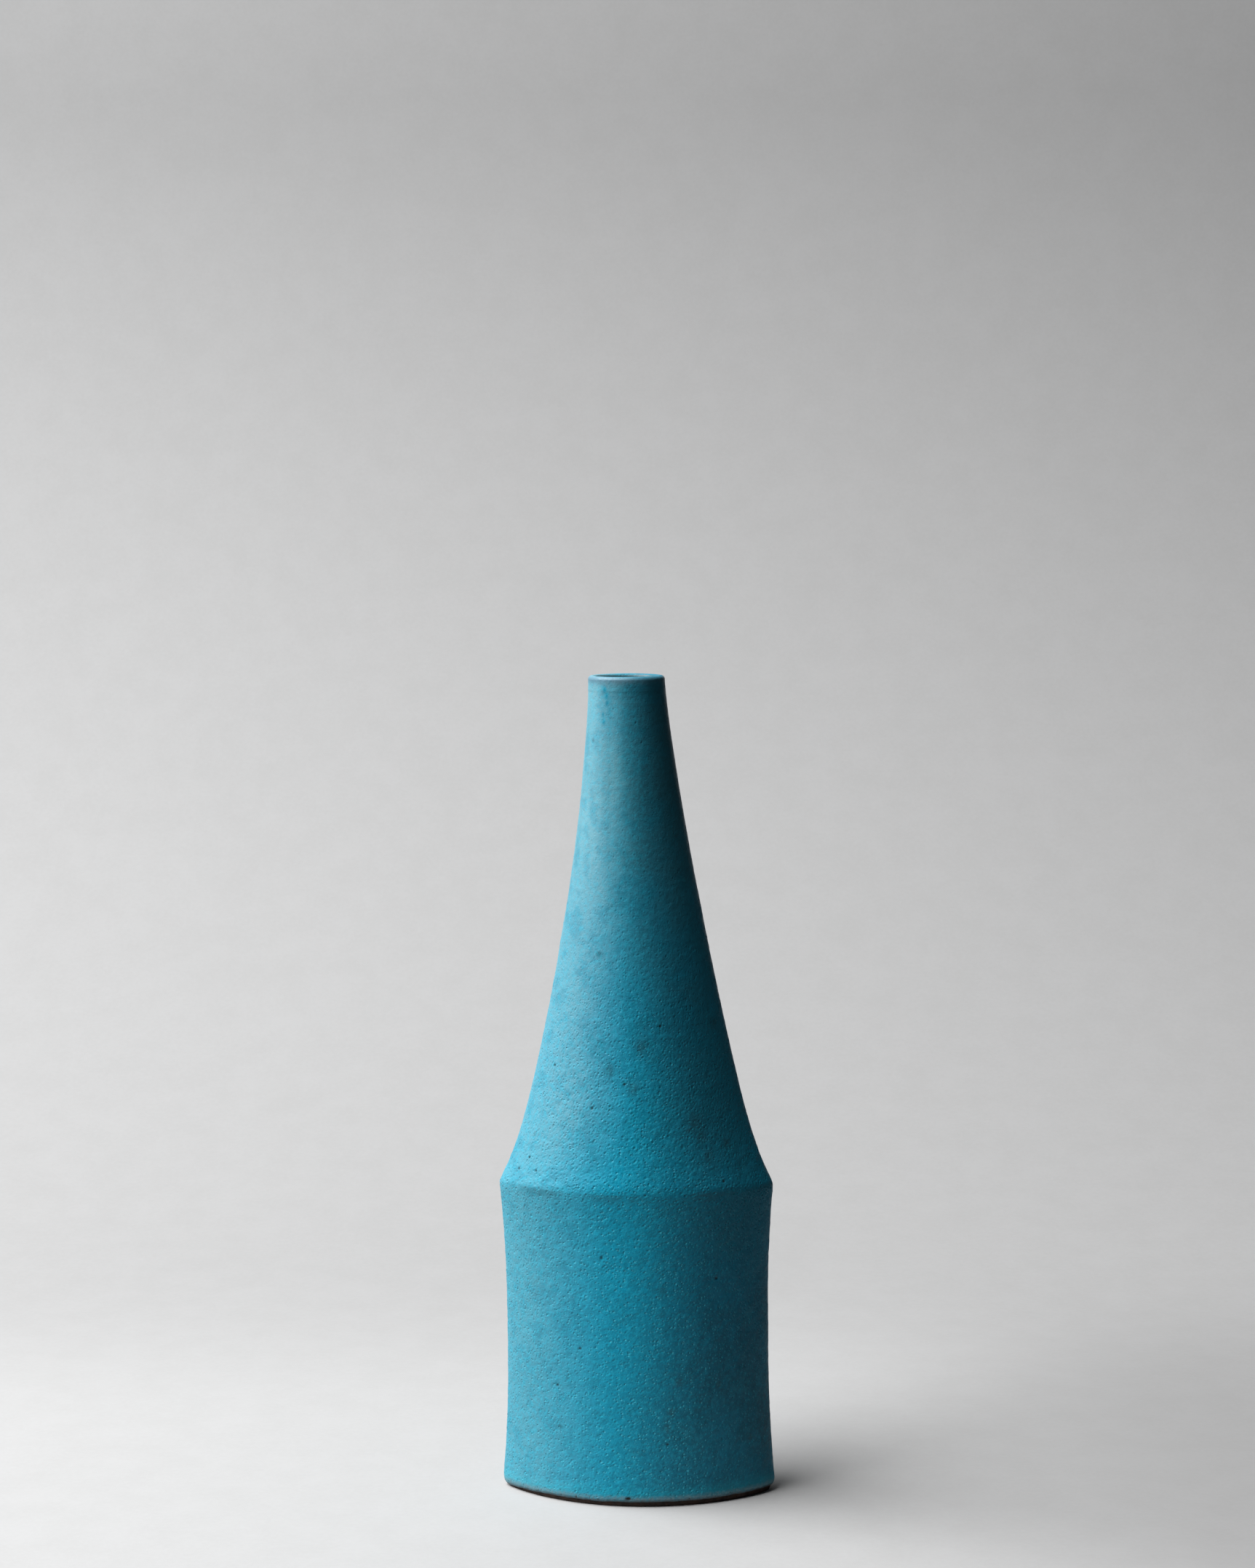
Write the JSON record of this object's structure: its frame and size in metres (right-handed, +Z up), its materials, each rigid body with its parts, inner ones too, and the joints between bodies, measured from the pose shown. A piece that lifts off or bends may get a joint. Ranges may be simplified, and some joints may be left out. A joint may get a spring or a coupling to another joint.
{
  "type": "bud vase",
  "caption": "Slender stoneware bud vase with a pointed-oval drum, a crisp shoulder ridge and a long cone rising to a narrow round mouth, in turquoise satin glaze over a bare dark foot.",
  "frame": {"origin": "middle of the foot, on the surface the vase stands on", "axes": "+Z up, X along the long axis of the pointed-oval plan, -Y towards the front"},
  "size_m": [0.0739, 0.0418, 0.22],
  "materials": {
    "foot_clay": "matte",
    "body_clay": "matte",
    "outer_glaze": "satin",
    "lip_glaze": "satin",
    "liner_glaze": "gloss"
  },
  "bodies": {
    "root": {"base_slab": "foot_clay", "drum_wall": "body_clay", "cone_wall": "body_clay", "foot_seam_coil": "body_clay", "shoulder_seam_coil": "body_clay", "drum_glaze": "outer_glaze", "cone_glaze": "outer_glaze", "lip_glaze": "lip_glaze", "liner_glaze": "liner_glaze"}
  },
  "joints": []
}
